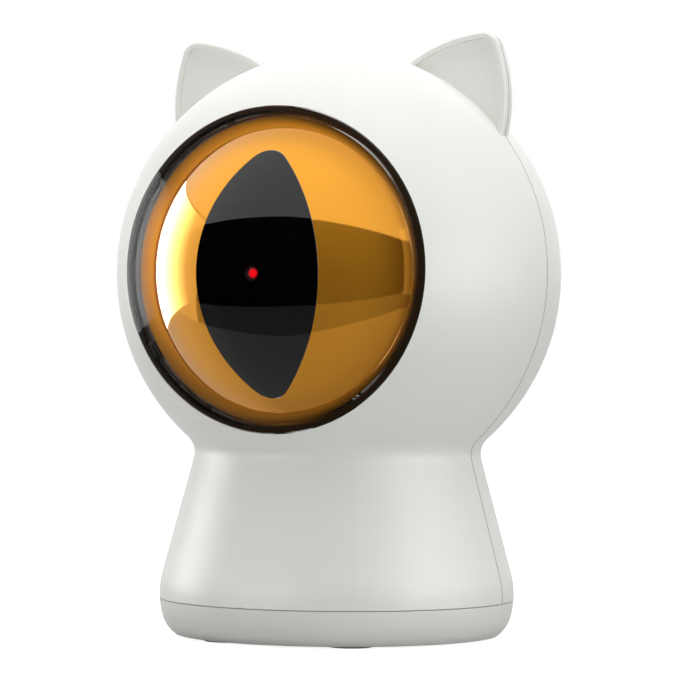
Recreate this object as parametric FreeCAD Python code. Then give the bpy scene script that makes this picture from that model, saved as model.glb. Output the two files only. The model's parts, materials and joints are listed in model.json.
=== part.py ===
import FreeCAD, Part
import math
import os

# Automatic cat laser toy: a ball head with cat ears on a flared foot.
# Millimetres. +Z is up, the eye faces -Y, the origin is the centre of the face that it stands on.

V = FreeCAD.Vector
UP = V(0, 0, 1)
FRONT = V(0, -1, 0)
BACK = V(0, 1, 0)
RIGHT = V(1, 0, 0)
ORIGIN = V(0, 0, 0)
BIG = 200

# Body form
HEAD_R = 42.0
HEAD_Z = 68.3
WALL = 2.0
NECK_FILLET = 3.8
FLARE_TOP_Z = 30.8
FLARE_LOW_Z = 12.0
FLARE_TAPER = 5.05
BASE_MAX_Z = 7.9
BASE_TURN_Z = 4.0
BASE_ROUND_Z = 2.1
BASE_BULGE = 0.5
BASE_ROUND_IN = 1.3
BASE_EDGE_IN = 2.9
BASE_MARGIN = 4.4
SEAM_Z = 7.0
START_EDGE_DEG = -60
SEAM_GAP = 0.16
LIP_T = 0.9
LIP_REACH = 1.8
FIT = 0.15

# Ears
EAR_T = 4.1
EAR_ANGLE_DEG = 40.0
EAR_ROOT = (-15.0, 5.1)
EAR_TOP_MID = (-5.1, 10.9)
EAR_TOP_END = (2.4, 12.53)
EAR_TIP = (4.6, 11.7)
EAR_SIDE_TOP = (5.6, 9.7)
EAR_SIDE_MID = (6.95, 3.9)
EAR_SIDE_END = (5.6, -9.5)
EAR_SINK = 8.0
EAR_RIM = 1.1
EAR_DISH = 0.9
EAR_ROUND = 0.6

# Eye
EYE_HALF_ANGLE_DEG = 45.2
EYE_GAP = 0.2
DOME_T = 1.7
DOME_SKIRT_T = 1.7
DOME_SKIRT_DEPTH = 2.8
CLIP_COUNT = 6
CLIP_W = 3.2
CLIP_T = 0.9
CLIP_HOOK = 1.0
CLIP_LEN = 2.8
IRIS_SETBACK = 3.1
IRIS_SHOULDER_W = 4.0
IRIS_CREASE_DEPTH = 3.5
IRIS_EDGE_DEPTH = 2.0
IRIS_T = 1.2
WINDOW_T = 0.6
PUPIL_DROP = 0.85
PUPIL_HALF_W = 12.0
PUPIL_MARGIN = 2.1
PUPIL_TIP_R = 4.4
PUPIL_FIT = 0.06
RING_T = 1.4
RING_W = 3.8

# Gimbal
GIMBAL_BEHIND_APEX = 22.9
MODULE = 0.6
PRESSURE_DEG = 20
ADDENDUM = 0.85 * MODULE
DEDENDUM = 1.15 * MODULE
ROOT_RISE = 0.1 * MODULE
PINION_TEETH = 12
PAN_TEETH = 44
TILT_TEETH = 32
GEAR_BACKLASH = 0.16
MESH_GAP = 0.08
GEAR_T = 2.2
GEAR_HOLES = 5
GEAR_HOLE_R = 2.2
GEAR_HOLE_PLACE = 0.62
RUN_FIT = 0.05
RUN_GAP = 0.4
PAN_SHAFT_R = 2.0
TRUNNION_R = 1.5
YOKE_ARM_X = 8.0
YOKE_ARM_T = 2.0
YOKE_ARM_HALF_Y = 4.2
YOKE_FLOOR_T = 2.0
YOKE_DROP = 11.2
YOKE_EDGE = 1.0
SECTOR_X = 5.4
SECTOR_T = 1.6
SECTOR_HALF_DEG = 38.0
SECTOR_HUB_WALL = 1.0
CRADLE_R = 4.7
CRADLE_LEN = 8.0
BARREL_R = 3.25
BARREL_LEN = 14.0
BARREL_FRONT = 8.0
LENS_R = 1.9
LENS_T = 0.9
DRIVER_BOARD = (5.0, 1.0, 4.2)

# Motors
PAN_MOTOR_R, PAN_MOTOR_LEN = 5.0, 12.0
TILT_MOTOR_R, TILT_MOTOR_LEN = 4.0, 9.0
MOTOR_SHAFT_R = 0.75
MOTOR_FLAT = 0.88
MOTOR_NOSE_R, MOTOR_NOSE_LEN = 2.0, 1.0
MOTOR_EAR_R, MOTOR_EAR_X, MOTOR_EAR_T = 1.9, 7.2, 0.8

# Chassis
CHASSIS_T = 2.0
CHASSIS_BOSS_H = 1.2
CHASSIS_BACK = 7.0
CHASSIS_FRONT = 8.88
CHASSIS_POST_CLEAR = 1.9
CHASSIS_TONGUE_HALF_X = 9.0
CHASSIS_RIB = 3.0
CHASSIS_EDGE_GAP = 3.6

# Screws
SCREW_R = 1.1
SCREW_HEAD_R, SCREW_HEAD_T = 2.1, 1.4
SCREW_CORE_R = 1.15
BOSS_R = 3.0
HEAD_BOSS_IN = 5.0
FOOT_BOSS_IN = 4.8
FOOT_BOSS_Z = 20.2
REAR_SEAT_Y = 8.0
SMALL_SCREW_R, SMALL_HEAD_R, SMALL_HEAD_T = 0.8, 1.5, 0.9

# Foot
GROUND_GAP = 0.4
FLOOR_T = 2.0
PAD_R, PAD_T = 4.0, 1.2
PAD_X = 12.5
PAD_CLEAR = 1.8

# Batteries
CELL_R, CELL_LEN = 5.25, 44.5
CELL_NUB_R, CELL_NUB_LEN = 1.9, 0.8
CELL_PITCH = 10.8
CELL_COUNT = 3
CELL_OVER_DOOR = 0.4
CONTACT_ROOM = 1.95
WELL_WALL = 1.2
WELL_TOP_GAP = 0.4
DOOR_T = 1.5
DOOR_LIFT = 0.1
DOOR_GAP = 0.3
DOOR_CORNER_R = 4.0
DOOR_TONGUE_HALF_Y = 3.4
DOOR_TONGUE = 5.0
DOOR_SCREW_IN = 2.6
GRIP_COUNT, GRIP_PITCH, GRIP_R = 3, 3.0, 1.2
GRIP_DEPTH = 0.45
HINGE_TAB_Y = 5.4
HINGE_TAB_HALF = 2.4
HINGE_TAB_REACH = 1.2
HINGE_SETBACK = 0.7
HINGE_BEVEL = 0.5
STRIP_T = 0.4
STRIP_HALF_W = 3.6

# Electronics and button
BOARD_T = 1.6
BOARD_HALF_X = 12.5
BOARD_LIFT = 1.0
BOARD_TOP_Z = 33.0
BOARD_POST_X, BOARD_POST_Z = 9.6, 24.0
BOARD_SHELL_GAP = 0.5
BOARD_POST_R = 2.2
USB_Z = 18.2
USB_W, USB_H, USB_D = 8.94, 3.26, 7.35
USB_WALL = 0.3
USB_FIT = 0.35
USB_RECESS = 0.8
BUTTON_Z = 27.4
BUTTON_R = 4.2
BUTTON_PROUD = 0.5
BUTTON_FIT = 0.2
BUTTON_FLANGE_R, BUTTON_FLANGE_T = 5.4, 0.8
BUTTON_TRAVEL = 0.6
SWITCH_SIZE = (4.6, 1.0, 4.6)
PLUNGER_R = 1.1
CHIP_SIZE = (7.0, 1.2, 7.0)

# Worked out from the values above
WELL_HALF_X = CELL_LEN / 2 + CONTACT_ROOM
WELL_HALF_Y = (CELL_COUNT - 1) / 2 * CELL_PITCH + CELL_R + FIT
BASE_MAX_R = math.hypot(WELL_HALF_X, WELL_HALF_Y) + BASE_MARGIN
FLARE_LOW_R = BASE_MAX_R - BASE_BULGE
FLARE_TOP_R = FLARE_LOW_R - FLARE_TAPER
FLARE = FLARE_TAPER / (FLARE_TOP_Z - FLARE_LOW_Z)
EAR_ANGLE = math.radians(EAR_ANGLE_DEG)
EYE_HALF_ANGLE = math.radians(EYE_HALF_ANGLE_DEG)
EYE_HOLE_R = HEAD_R * math.sin(EYE_HALF_ANGLE)
RIM_Y = -HEAD_R * math.cos(EYE_HALF_ANGLE)
EYE_Z = HEAD_Z
DOME_R = EYE_HOLE_R - EYE_GAP
DOME_SKIRT_IN_R = DOME_R - DOME_SKIRT_T
DOME_SKIRT_Y = RIM_Y + DOME_SKIRT_DEPTH
IRIS_APEX_Y = IRIS_SETBACK - HEAD_R
IRIS_CREASE_R = EYE_HOLE_R - IRIS_SHOULDER_W
IRIS_CREASE_Y = RIM_Y + IRIS_CREASE_DEPTH
IRIS_EDGE_Y = RIM_Y + IRIS_EDGE_DEPTH
PUPIL_HALF_H = IRIS_CREASE_R - PUPIL_MARGIN
GIMBAL_Y = IRIS_APEX_Y + GIMBAL_BEHIND_APEX
GIMBAL_Z = HEAD_Z - PUPIL_DROP
GIMBAL = V(0, GIMBAL_Y, GIMBAL_Z)
IRIS_OUT_R = DOME_SKIRT_IN_R - EYE_GAP
IRIS_RISE = IRIS_CREASE_Y - IRIS_APEX_Y
IRIS_SPHERE_R = (IRIS_CREASE_R ** 2 + IRIS_RISE ** 2) / (2 * IRIS_RISE)
IRIS_CENTRE_Y = IRIS_APEX_Y + IRIS_SPHERE_R
PINION_PITCH_R = MODULE * PINION_TEETH / 2
PAN_PITCH_R = MODULE * PAN_TEETH / 2
TILT_PITCH_R = MODULE * TILT_TEETH / 2
PAN_PINION_Y = GIMBAL_Y + PAN_PITCH_R + PINION_PITCH_R + MESH_GAP
TILT_PINION_Y = GIMBAL_Y + TILT_PITCH_R + PINION_PITCH_R + MESH_GAP
YOKE_FLOOR_Z = GIMBAL_Z - YOKE_DROP
PAN_GEAR_TOP_Z = YOKE_FLOOR_Z - YOKE_FLOOR_T
PAN_GEAR_LOW_Z = PAN_GEAR_TOP_Z - GEAR_T
CHASSIS_TOP_Z = PAN_GEAR_LOW_Z - RUN_GAP - CHASSIS_BOSS_H
CHASSIS_LOW_Z = CHASSIS_TOP_Z - CHASSIS_T
CHASSIS_POST_Z = CHASSIS_LOW_Z - BOSS_R - RUN_GAP
CHASSIS_POST_OUT = EYE_HOLE_R + BOSS_R + CHASSIS_POST_CLEAR
CHASSIS_POST_X = math.sqrt(CHASSIS_POST_OUT ** 2 - (EYE_Z - CHASSIS_POST_Z) ** 2)
CHASSIS_REACH_X = CHASSIS_POST_X + BOSS_R
CHASSIS_BACK_Y = PAN_PINION_Y + CHASSIS_BACK
CHASSIS_TAB_Y = PAN_PINION_Y - CHASSIS_FRONT
DOOR_LOW_Z = GROUND_GAP + DOOR_LIFT
DOOR_HIGH_Z = DOOR_LOW_Z + DOOR_T
LEDGE_Z = DOOR_LOW_Z + HINGE_BEVEL
CELL_Z = GROUND_GAP + FLOOR_T + CELL_OVER_DOOR + CELL_R
WELL_TOP_Z = CELL_Z + CELL_R + WELL_TOP_GAP
BASE_BOSS_Y = WELL_HALF_Y + WELL_WALL + BOSS_R + PAD_CLEAR + CHASSIS_T
BASE_BOSS_TOP_Z = WELL_TOP_Z + WELL_WALL - RUN_GAP
PAD_Y = WELL_HALF_Y + PAD_R + PAD_CLEAR
DOOR_TONGUE_X = WELL_HALF_X + DOOR_TONGUE
DOOR_SCREW_X = DOOR_TONGUE_X - DOOR_SCREW_IN
WALL_AT_USB = FLARE_LOW_R - FLARE * (USB_Z - FLARE_LOW_Z)
BOARD_BACK_Y = WALL_AT_USB - USB_RECESS - USB_D
BOARD_Y = BOARD_BACK_Y - BOARD_T
BOARD_LOW_Z = BASE_BOSS_TOP_Z + BOARD_LIFT


def save(shape, name):
    shape.exportStep("parts/" + name + ".step")
    box = shape.BoundBox
    print(name, len(shape.Solids), "solids", round(shape.Volume, 1), "mm3", shape.isValid(),
          [round(v, 2) for v in (box.XMin, box.XMax, box.YMin, box.YMax, box.ZMin, box.ZMax)])


def block(x0, x1, y0, y1, z0, z1):
    return Part.makeBox(x1 - x0, y1 - y0, z1 - z0, V(x0, y0, z0))


def rod(start, direction, radius, length):
    return Part.makeCylinder(radius, length, start, direction)


def tube(start, direction, outer, inner, length):
    return rod(start, direction, outer, length).cut(rod(start, direction, inner, length))


def fuse(shapes):
    return shapes[0].fuse(shapes[1:]).removeSplitter()


def arc(a, b, c):
    return Part.Arc(a, b, c).toShape()


def line(a, b):
    return Part.makeLine(a, b)


def mirror_x(shape):
    return shape.mirror(ORIGIN, RIGHT)


# Body of revolution. Its start edge lies well away from the seam between the shells.

def flare_normal():
    length = math.hypot(1, FLARE)
    return V(1 / length, 0, FLARE / length)


def neck_centre():
    """Centre of the concave fillet that touches the ball and the flare."""
    n = flare_normal()
    along = V(-n.z, 0, n.x)
    start = V(FLARE_TOP_R, 0, FLARE_TOP_Z) + n * NECK_FILLET
    to_start = start - V(0, 0, HEAD_Z)
    half_b = to_start.dot(along)
    c = to_start.dot(to_start) - (HEAD_R + NECK_FILLET) ** 2
    return start + along * (-half_b - math.sqrt(half_b ** 2 - c))


def body(inset):
    """The whole outer form, with its surface moved inwards by inset."""
    n = flare_normal()
    ball = V(0, 0, HEAD_Z)
    centre = neck_centre()
    to_ball = (ball - centre).normalize()
    radius = NECK_FILLET + inset
    top = V(0, 0, HEAD_Z + HEAD_R - inset)
    side = V(HEAD_R - inset, 0, HEAD_Z)
    neck_high = centre + to_ball * radius
    neck_low = centre - n * radius
    neck_mid = centre + (to_ball - n).normalize() * radius
    flare_low = V(FLARE_LOW_R, 0, FLARE_LOW_Z) - n * inset
    base_max = V(BASE_MAX_R - inset, 0, BASE_MAX_Z)
    turn = V(BASE_MAX_R - BASE_BULGE - inset, 0, BASE_TURN_Z)
    rounding = V(BASE_MAX_R - BASE_ROUND_IN - inset, 0, BASE_ROUND_Z)
    edge = V(BASE_MAX_R - BASE_EDGE_IN - inset, 0, GROUND_GAP)
    foot = V(0, 0, GROUND_GAP)
    wire = Part.Wire([
        arc(top, side, neck_high),
        arc(neck_high, neck_mid, neck_low),
        line(neck_low, flare_low),
        arc(flare_low, base_max, turn),
        arc(turn, rounding, edge),
        line(edge, foot),
        line(foot, top),
    ])
    turned = Part.Face(wire).revolve(ORIGIN, UP, 360)
    return turned.rotate(ORIGIN, UP, START_EDGE_DEG)


OUTER = body(0)
INNER = body(WALL)


def front_half(y):
    return block(-BIG, BIG, -BIG, y, SEAM_Z + SEAM_GAP / 2, BIG)


def rear_half(y):
    return block(-BIG, BIG, y, BIG, SEAM_Z + SEAM_GAP / 2, BIG)


# Ears

def ear_face(inset, y):
    """One ear's outline, running down into the ball, as a face at y."""
    x0 = HEAD_R * math.sin(EAR_ANGLE)
    z0 = HEAD_Z + HEAD_R * math.cos(EAR_ANGLE)
    points = [EAR_ROOT, EAR_TOP_MID, EAR_TOP_END, EAR_TIP, EAR_SIDE_TOP, EAR_SIDE_MID, EAR_SIDE_END]
    root, top_mid, top_end, tip, side_top, side_mid, side_end = [V(x0 + x, y, z0 + z) for x, z in points]
    side_in = side_end + V(-EAR_SINK, 0, 0)
    root_in = root + V(0, 0, -EAR_SINK)
    wire = Part.Wire([
        arc(root, top_mid, top_end),
        arc(top_end, tip, side_top),
        arc(side_top, side_mid, side_end),
        line(side_end, side_in),
        line(side_in, root_in),
        line(root_in, root),
    ])
    if inset:
        wire = wire.makeOffset2D(-inset)
    return Part.Face(wire)


def ear(side):
    """One half of an ear in thickness, on the -Y side (side -1) or the +Y side (side 1)."""
    depth = EAR_T / 2
    solid = ear_face(0, 0).extrude(V(0, side * depth, 0))
    lip = [e for e in solid.Edges if isinstance(e.Curve, Part.Circle) and abs(e.CenterOfMass.y) > depth / 2]
    solid = solid.makeFillet(EAR_ROUND, lip)
    if side < 0:
        dish = ear_face(EAR_RIM, -depth + EAR_DISH).extrude(V(0, -EAR_DISH, 0))
        solid = solid.cut(dish)
    return solid.cut(body(WALL / 2))


def ears(side):
    return [ear(side), mirror_x(ear(side))]


# Shells

def shell_boss_places():
    head = (HEAD_R - WALL - HEAD_BOSS_IN) / math.sqrt(2)
    foot_x = FLARE_LOW_R - FLARE * (FOOT_BOSS_Z - FLARE_LOW_Z) - WALL - FOOT_BOSS_IN
    return [(s * head, HEAD_Z + head) for s in (-1, 1)] + [(s * foot_x, FOOT_BOSS_Z) for s in (-1, 1)]


def in_wall(shape):
    """Keep a boss or rib inside the middle of the wall."""
    return shape.common(body(WALL / 2))


def base_boss(y):
    toward = 1 if y > 0 else -1
    post = rod(V(0, y, SEAM_Z + SEAM_GAP / 2), UP, BOSS_R, BASE_BOSS_TOP_Z - SEAM_Z)
    reach = sorted((y, y + toward * 3 * BOSS_R))
    rib = block(-WALL / 2, WALL / 2, reach[0], reach[1], SEAM_Z + SEAM_GAP / 2, BASE_BOSS_TOP_Z)
    return in_wall(post.fuse(rib))


def base_boss_core(y):
    return rod(V(0, y, 0), UP, SCREW_CORE_R, BASE_BOSS_TOP_Z - WALL / 2)


def eye_hole():
    return rod(V(0, GIMBAL_Y, EYE_Z), FRONT, EYE_HOLE_R, BIG)


def front_shell():
    shell = OUTER.cut(INNER).common(front_half(-SEAM_GAP / 2))
    shell = shell.cut(eye_hole())
    bosses = [rod(V(x, -SEAM_GAP / 2, z), FRONT, BOSS_R, HEAD_R) for x, z in shell_boss_places()]
    cores = [rod(V(x, 0, z), FRONT, SCREW_CORE_R, 3 * BOSS_R) for x, z in shell_boss_places()]
    feet = [V(s * CHASSIS_POST_X, CHASSIS_TAB_Y, CHASSIS_POST_Z) for s in (-1, 1)]
    posts = [rod(foot, FRONT, BOSS_R, HEAD_R) for foot in feet]
    post_cores = [rod(foot, FRONT, SCREW_CORE_R, 2 * BOSS_R) for foot in feet]
    solid = [shell] + [in_wall(b) for b in bosses + posts] + [base_boss(-BASE_BOSS_Y)]
    ear_halves = [e.common(front_half(-SEAM_GAP / 2)) for e in ears(-1)]
    cuts = cores + post_cores + [base_boss_core(-BASE_BOSS_Y), eye_hole()]
    return fuse(solid + ear_halves).cut(cuts)


def seam_lip():
    """Tongue inside the rear shell's edge, which lines up the front shell."""
    ring = body(WALL + FIT).cut(body(WALL + FIT + LIP_T))
    tongue = ring.common(block(-BIG, BIG, -LIP_REACH, LIP_REACH, FLARE_LOW_Z, BIG))
    root = body(WALL / 2).cut(body(WALL + FIT + LIP_T))
    root = root.common(block(-BIG, BIG, SEAM_GAP / 2, LIP_REACH, FLARE_LOW_Z, BIG))
    clear = [rod(V(x, -LIP_REACH, z), BACK, BOSS_R + RUN_GAP, LIP_REACH) for x, z in shell_boss_places()]
    return tongue.cut(clear).fuse(root)


def stadium(half_w, half_h, y0, length):
    flat = half_w - half_h
    parts = [block(-flat, flat, y0, y0 + length, USB_Z - half_h, USB_Z + half_h)]
    parts += [rod(V(s * flat, y0, USB_Z), BACK, half_h, length) for s in (-1, 1)]
    return fuse(parts)


def usb_slot():
    """Stadium-shaped opening in the rear wall, around the socket."""
    return stadium(USB_W / 2 + USB_FIT, USB_H / 2 + USB_FIT, BOARD_BACK_Y, BIG)


def board_post(x):
    return in_wall(rod(V(x, BOARD_BACK_Y, BOARD_POST_Z), BACK, BOARD_POST_R, BIG))


def board_post_core(x):
    return rod(V(x, BOARD_BACK_Y, BOARD_POST_Z), BACK, SMALL_SCREW_R + RUN_FIT, 3 * SMALL_SCREW_R)


def rear_shell():
    shell = OUTER.cut(INNER).common(rear_half(SEAM_GAP / 2))
    places = shell_boss_places()
    bosses = [in_wall(rod(V(x, SEAM_GAP / 2, z), BACK, BOSS_R + SCREW_HEAD_T, BIG)) for x, z in places]
    shanks = [rod(V(x, 0, z), BACK, SCREW_R + FIT, BIG) for x, z in places]
    heads = [rod(V(x, REAR_SEAT_Y, z), BACK, SCREW_HEAD_R + FIT, BIG) for x, z in places]
    posts = [board_post(s * BOARD_POST_X) for s in (-1, 1)]
    button_hole = rod(V(0, BOARD_BACK_Y, BUTTON_Z), BACK, BUTTON_R + BUTTON_FIT, BIG)
    solid = [shell, seam_lip()] + bosses + posts + [base_boss(BASE_BOSS_Y)]
    ear_halves = [e.common(rear_half(SEAM_GAP / 2)) for e in ears(1)]
    post_cores = [board_post_core(s * BOARD_POST_X) for s in (-1, 1)]
    cuts = shanks + heads + post_cores + [base_boss_core(BASE_BOSS_Y), usb_slot(), button_hole]
    return fuse(solid + ear_halves).cut(cuts)


# Foot

def door_outline(gap, low, high):
    """The battery door's plate and screw tongue, grown by gap."""
    half_y = WELL_HALF_Y - DOOR_GAP + gap
    x0, x1 = -WELL_HALF_X + HINGE_SETBACK - gap, WELL_HALF_X - DOOR_GAP + gap
    plate = block(x0, x1, -half_y, half_y, low, high)
    corners = [e for e in plate.Edges if abs(e.BoundBox.ZLength - (high - low)) < 0.001]
    plate = plate.makeFillet(DOOR_CORNER_R, corners)
    half_t = DOOR_TONGUE_HALF_Y + gap
    tongue = block(0, DOOR_TONGUE_X - DOOR_TONGUE_HALF_Y, -half_t, half_t, low, high)
    end = rod(V(DOOR_TONGUE_X - DOOR_TONGUE_HALF_Y, 0, low), UP, half_t, high - low)
    return plate.fuse([tongue, end]).removeSplitter()


def hinge_tabs(gap, low, high):
    """Two tabs on the door's -X edge, which hook over the foot's ledge."""
    x0 = -WELL_HALF_X - HINGE_TAB_REACH - gap
    half = HINGE_TAB_HALF + gap
    return [block(x0, -WELL_HALF_X + 2 * HINGE_SETBACK, y - half, y + half, low, high)
            for y in (-HINGE_TAB_Y, HINGE_TAB_Y)]


def pads():
    return [rod(V(x, y, 0), UP, PAD_R, PAD_T) for x in (-PAD_X, PAD_X) for y in (-PAD_Y, PAD_Y)]


def base_cap():
    floor_z = GROUND_GAP + FLOOR_T
    cup = OUTER.common(block(-BIG, BIG, -BIG, BIG, 0, SEAM_Z - SEAM_GAP / 2))
    hollow = body(WALL).common(block(-BIG, BIG, -BIG, BIG, floor_z, SEAM_Z))
    lip = body(WALL + FIT).cut(body(WALL + FIT + LIP_T))
    lip = lip.common(block(-BIG, BIG, -BIG, BIG, floor_z, SEAM_Z + LIP_REACH))
    lip_root = body(WALL / 2).cut(body(WALL + FIT + LIP_T))
    lip_root = lip_root.common(block(-BIG, BIG, -BIG, BIG, floor_z, SEAM_Z - LIP_T))
    bosses_y = (-BASE_BOSS_Y, BASE_BOSS_Y)
    clear = [rod(V(0, y, SEAM_Z - SEAM_GAP), UP, BOSS_R + RUN_GAP, BIG) for y in bosses_y]
    ribs = [block(-WALL, WALL, min(y, 2 * y), max(y, 2 * y), SEAM_Z - SEAM_GAP, BIG) for y in bosses_y]
    posts = [rod(V(0, y, floor_z), UP, BOSS_R, SEAM_Z - SEAM_GAP / 2 - floor_z) for y in bosses_y]
    out_x = WELL_HALF_X + WELL_WALL
    out_y = WELL_HALF_Y + WELL_WALL
    well = block(-out_x, out_x, -out_y, out_y, floor_z, WELL_TOP_Z + WELL_WALL).common(body(WALL + 4 * FIT))
    pocket = block(-WELL_HALF_X, WELL_HALF_X, -WELL_HALF_Y, WELL_HALF_Y, DOOR_HIGH_Z, WELL_TOP_Z)
    screw_post = rod(V(DOOR_SCREW_X, 0, floor_z), UP, SCREW_HEAD_R + DOOR_GAP, 2 * BOSS_R)
    solid = fuse([cup.cut(hollow), lip.cut(clear + ribs), lip_root, well, screw_post] + posts)
    shanks = [rod(V(0, y, 0), UP, SCREW_R + FIT, SEAM_Z) for y in bosses_y]
    heads = [rod(V(0, y, 0), UP, SCREW_HEAD_R + FIT, GROUND_GAP + FLOOR_T + SCREW_HEAD_T) for y in bosses_y]
    door_hole = door_outline(DOOR_GAP, 0, DOOR_HIGH_Z + DOOR_GAP / 2)
    tab_slots = hinge_tabs(DOOR_GAP, LEDGE_Z, 2 * DOOR_HIGH_Z)
    door_core = rod(V(DOOR_SCREW_X, 0, 0), UP, SMALL_SCREW_R + RUN_GAP, 2 * BOSS_R)
    pad_seats = [rod(V(x, y, 0), UP, PAD_R + FIT, PAD_T) for x in (-PAD_X, PAD_X) for y in (-PAD_Y, PAD_Y)]
    return solid.cut([pocket, door_hole, door_core] + tab_slots + shanks + heads + pad_seats)


def battery_door():
    plate = door_outline(0, DOOR_LOW_Z, DOOR_HIGH_Z)
    hinge_x = -WELL_HALF_X + HINGE_SETBACK
    wedge = Part.makePolygon([V(hinge_x, -BIG / 2, z) for z in (0, LEDGE_Z)] +
                             [V(hinge_x + LEDGE_Z, -BIG / 2, 0), V(hinge_x, -BIG / 2, 0)])
    plate = plate.cut(Part.Face(wedge).extrude(BACK * BIG))
    tabs = hinge_tabs(0, LEDGE_Z, DOOR_HIGH_Z)
    seat = V(DOOR_SCREW_X, 0, DOOR_LOW_Z)
    cone = Part.makeCone(SMALL_HEAD_R + FIT, SMALL_SCREW_R + FIT, SMALL_HEAD_T, seat, UP)
    hole = rod(V(DOOR_SCREW_X, 0, 0), UP, SMALL_SCREW_R + FIT, SEAM_Z)
    grip_low = DOOR_LOW_Z - GRIP_R + GRIP_DEPTH
    last_x = WELL_HALF_X - DOOR_CORNER_R
    grips = [rod(V(last_x - i * GRIP_PITCH, -PAD_R, grip_low), BACK, GRIP_R, 2 * PAD_R)
             for i in range(GRIP_COUNT)]
    return fuse([plate] + tabs).cut([cone, hole] + grips)


def battery_cell(index):
    y = (index - (CELL_COUNT - 1) / 2) * CELL_PITCH
    toward = 1 if index % 2 else -1
    start = V(-toward * CELL_LEN / 2, y, CELL_Z)
    can = rod(start, V(toward, 0, 0), CELL_R, CELL_LEN - CELL_NUB_LEN)
    rims = [e for e in can.Edges if e.BoundBox.XLength < 0.001]
    can = can.makeChamfer(RUN_GAP, rims)
    nub = rod(start, V(toward, 0, 0), CELL_NUB_R, CELL_LEN)
    return can.fuse(nub).removeSplitter()


def contact_strip(side, y):
    """Bent spring strip at the end of one cell bay, between the wall and the cell."""
    wall_x = WELL_HALF_X - FIT
    nose_x = CELL_LEN / 2 + FIT
    low, high = -STRIP_HALF_W, STRIP_HALF_W
    bend = [(nose_x + STRIP_T, STRIP_T), (nose_x, 0), (wall_x - STRIP_T, low)]
    outline = [(wall_x, low), (wall_x, high)] + bend
    strip_points = [V(side * px, y + py, 0) for px, py in outline]
    strip_points.append(strip_points[0])
    face = Part.Face(Part.makePolygon(strip_points))
    face.translate(V(0, 0, CELL_Z - CELL_NUB_R))
    return face.extrude(V(0, 0, 2 * CELL_NUB_R))


def battery_contacts(side):
    rows = [(i - (CELL_COUNT - 1) / 2) * CELL_PITCH for i in range(CELL_COUNT)]
    return Part.makeCompound([contact_strip(side, y) for y in rows])


def screw(start, direction, radius, head_r, head_t, length):
    """Pan-head screw: start is the seat under the head, direction is into the hole."""
    shank = rod(start, direction, radius, length)
    head = rod(start - direction * head_t, direction, head_r, head_t)
    crown = [e for e in head.Edges if (e.CenterOfMass - start).dot(direction) < -head_t * 0.9]
    head = head.makeChamfer(head_t / 3, crown)
    slot = head_t / 2
    cross = [rod(start - direction * head_t, direction, head_r / 3, slot)]
    return shank.fuse(head).cut(cross)


def shell_screws():
    return Part.makeCompound([screw(V(x, REAR_SEAT_Y, z), FRONT, SCREW_R, SCREW_HEAD_R, SCREW_HEAD_T,
                                    REAR_SEAT_Y + 2 * BOSS_R) for x, z in shell_boss_places()])


def base_screws():
    seat = GROUND_GAP + FLOOR_T + SCREW_HEAD_T
    return Part.makeCompound([screw(V(0, y, seat), UP, SCREW_R, SCREW_HEAD_R, SCREW_HEAD_T, 2.5 * BOSS_R)
                              for y in (-BASE_BOSS_Y, BASE_BOSS_Y)])


def door_screw():
    low = V(DOOR_SCREW_X, 0, DOOR_LOW_Z)
    head = Part.makeCone(SMALL_HEAD_R, SMALL_SCREW_R, SMALL_HEAD_T, low, UP)
    slot = rod(low, UP, SMALL_HEAD_R / 3, SMALL_HEAD_T / 2)
    return head.fuse(rod(low, UP, SMALL_SCREW_R, 3 * SMALL_HEAD_R)).cut(slot)


# Eye

def dome_solid(radius, inset, low_y):
    """Front part of a ball around the head's centre, inside a cylinder about the eye's axis."""
    ball = Part.makeSphere(HEAD_R - inset, V(0, 0, HEAD_Z))
    return ball.common(rod(V(0, low_y, EYE_Z), FRONT, radius, BIG))


def clip(index):
    angle = 360.0 * index / CLIP_COUNT
    back_y = DOME_SKIRT_Y + CLIP_LEN
    arm = block(-CLIP_W / 2, CLIP_W / 2, DOME_SKIRT_Y, back_y, DOME_R - CLIP_T, DOME_R - FIT)
    hook_y = DOME_SKIRT_Y + CLIP_LEN / 2
    hook = block(-CLIP_W / 2, CLIP_W / 2, hook_y, back_y, DOME_R - CLIP_T, DOME_R + CLIP_HOOK)
    both = arm.fuse(hook)
    both.translate(V(0, 0, EYE_Z))
    return both.rotate(V(0, 0, EYE_Z), BACK, angle)


def eye_dome():
    shell = dome_solid(DOME_R, 0, DOME_SKIRT_Y).cut(dome_solid(DOME_SKIRT_IN_R, DOME_T, DOME_SKIRT_Y))
    return fuse([shell] + [clip(i) for i in range(CLIP_COUNT)])


def iris_profile(inset):
    """Section of the iris: a dome, a crease, and a shoulder that rises to the rim."""
    centre = V(0, IRIS_CENTRE_Y, 0)
    radius = IRIS_SPHERE_R - inset
    half_angle = math.asin(IRIS_CREASE_R / IRIS_SPHERE_R)
    apex = centre + V(0, -radius, 0)
    mid = centre + V(math.sin(half_angle / 2), -math.cos(half_angle / 2), 0) * radius
    crease = centre + V(math.sin(half_angle), -math.cos(half_angle), 0) * radius
    return apex, mid, crease


def iris_solid(thickness):
    """The iris as a turned dish of even thickness."""
    apex, mid, crease = iris_profile(0)
    apex_in, mid_in, crease_in = iris_profile(thickness)
    rim = V(IRIS_OUT_R, IRIS_EDGE_Y, 0)
    rim_back = V(IRIS_OUT_R, IRIS_CREASE_Y + thickness, 0)
    crease_back = V(crease_in.x, IRIS_CREASE_Y + thickness, 0)
    wire = Part.Wire([
        arc(apex, mid, crease),
        line(crease, rim),
        line(rim, rim_back),
        line(rim_back, crease_back),
        line(crease_back, crease_in),
        arc(crease_in, mid_in, apex_in),
        line(apex_in, apex),
    ])
    solid = Part.Face(wire).revolve(ORIGIN, BACK, 360)
    solid.translate(V(0, 0, EYE_Z))
    return solid


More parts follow.
